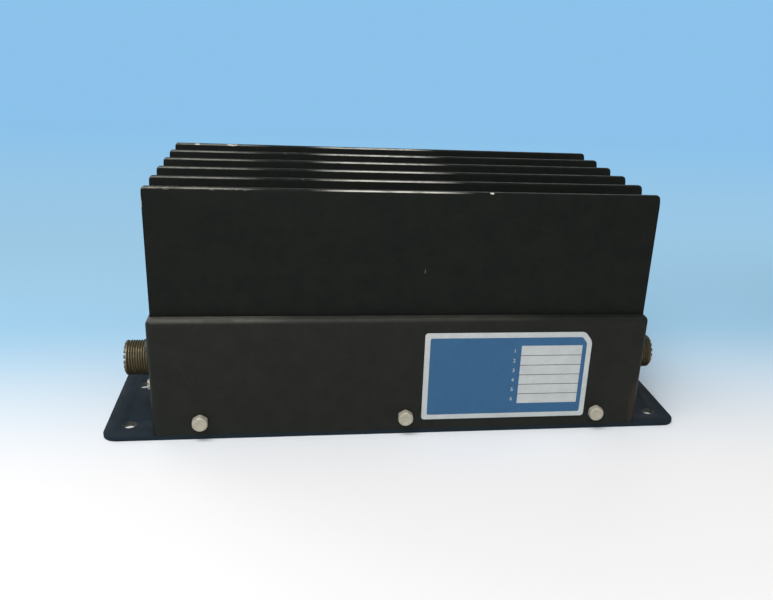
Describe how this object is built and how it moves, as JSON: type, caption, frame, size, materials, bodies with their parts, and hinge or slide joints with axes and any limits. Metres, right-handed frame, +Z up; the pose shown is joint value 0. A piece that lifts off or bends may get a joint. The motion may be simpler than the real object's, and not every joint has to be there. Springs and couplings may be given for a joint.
{
  "type": "radio frequency power amplifier",
  "caption": "Finned black radio power amplifier: heat sink on a low sheet-metal case, flanged base plate, threaded coaxial socket at each end.",
  "frame": {"origin": "middle of the base plate's underside, which is the middle of its four corner mounting holes", "axes": "+X along the length towards the output socket, +Y to the back, +Z up through the fins"},
  "size_m": [0.262, 0.1279, 0.1101],
  "materials": {
    "case_paint": "satin black enamel, worn at the edges",
    "plate_paint": "satin black enamel on steel plate",
    "sink_black": "black anodised extrusion",
    "zinc_steel": "zinc-plated steel",
    "socket_nickel": "tarnished nickel on brass",
    "contact_silver": "silver-plated brass",
    "phenolic": "brown phenolic",
    "nameplate_blue": "printed aluminium, blue field with a pale border",
    "board_laminate": "glass-epoxy laminate",
    "ceramic_white": "glazed ceramic",
    "copper_gold": "gold-plated copper",
    "tinned_copper": "tinned copper",
    "ferrite": "grey-black ferrite",
    "component_tan": "lacquered component body",
    "moulded_black": "moulded black phenolic",
    "wire_sleeve": "plastic-sleeved wire",
    "relay_iron": "plated soft iron"
  },
  "bodies": {
    "case": {"base_plate": "plate_paint", "bead_chokes": "ferrite", "bias_transistor": "moulded_black", "board_screws": "zinc_steel", "board_spacers": "contact_silver", "chassis_box": "case_paint", "circuit_board": "board_laminate", "clad_capacitors": "component_tan", "disc_capacitors": "component_tan", "electrolytic_capacitor": "component_tan", "front_cover_rail": "plate_paint", "front_cover_screws": "zinc_steel", "heat_sink": "sink_black", "heat_sink_screws": "zinc_steel", "input_coax_link": "wire_sleeve", "input_socket_contact": "contact_silver", "input_socket_insulator": "phenolic", "input_socket_nuts": "zinc_steel", "input_socket_screws": "zinc_steel", "input_socket_shell": "socket_nickel", "input_transformer_sleeves": "ferrite", "input_transformer_tubes": "contact_silver", "nameplate": "nameplate_blue", "output_coax_link": "wire_sleeve", "output_socket_contact": "contact_silver", "output_socket_insulator": "phenolic", "output_socket_nuts": "zinc_steel", "output_socket_screws": "zinc_steel", "output_socket_shell": "socket_nickel", "output_transformer_sleeves": "ferrite", "output_transformer_tubes": "contact_silver", "output_transformer_winding": "tinned_copper", "rear_cover_rail": "plate_paint", "rear_cover_screws": "zinc_steel", "relay_base": "phenolic", "relay_coil": "tinned_copper", "relay_contact_fork": "contact_silver", "relay_core": "relay_iron", "relay_hinge_pin": "relay_iron", "relay_yoke": "relay_iron", "resistors": "component_tan", "supply_wires": "wire_sleeve", "terminal_block_body": "moulded_black", "terminal_block_nuts": "zinc_steel", "terminal_block_screws": "zinc_steel", "terminal_screws": "zinc_steel", "terminal_straps": "contact_silver", "transformer_end_plates": "board_laminate", "transistor_caps": "ceramic_white", "transistor_flanges": "copper_gold", "transistor_leads": "copper_gold", "transistor_screws": "zinc_steel", "trimmer_bases": "ceramic_white", "tuning_coils": "tinned_copper"},
    "trimmer_1": {"trimmer_rotor_1": "ceramic_white"},
    "trimmer_2": {"trimmer_rotor_2": "ceramic_white"},
    "trimmer_3": {"trimmer_rotor_3": "ceramic_white"},
    "trimmer_4": {"trimmer_rotor_4": "ceramic_white"},
    "armature": {"relay_armature": "relay_iron"}
  },
  "joints": [
    {"name": "trimmer_1_turn", "type": "hinge", "parent": "case", "child": "trimmer_1", "pos_m": [-0.062, -0.01, 0.0479], "axis": [0, 0, 1], "continuous": true},
    {"name": "trimmer_2_turn", "type": "hinge", "parent": "case", "child": "trimmer_2", "pos_m": [-0.062, 0.01, 0.0479], "axis": [0, 0, 1], "continuous": true},
    {"name": "trimmer_3_turn", "type": "hinge", "parent": "case", "child": "trimmer_3", "pos_m": [0.062, -0.01, 0.0479], "axis": [0, 0, 1], "continuous": true},
    {"name": "trimmer_4_turn", "type": "hinge", "parent": "case", "child": "trimmer_4", "pos_m": [0.062, 0.01, 0.0479], "axis": [0, 0, 1], "continuous": true},
    {"name": "armature_swing", "type": "hinge", "parent": "case", "child": "armature", "pos_m": [-0.0463, 0.02, 0.0324], "axis": [0, -1, 0], "range_deg": [0, 5], "stiffness_Nm_per_rad": 0.002, "springref_deg": -6.88}
  ]
}
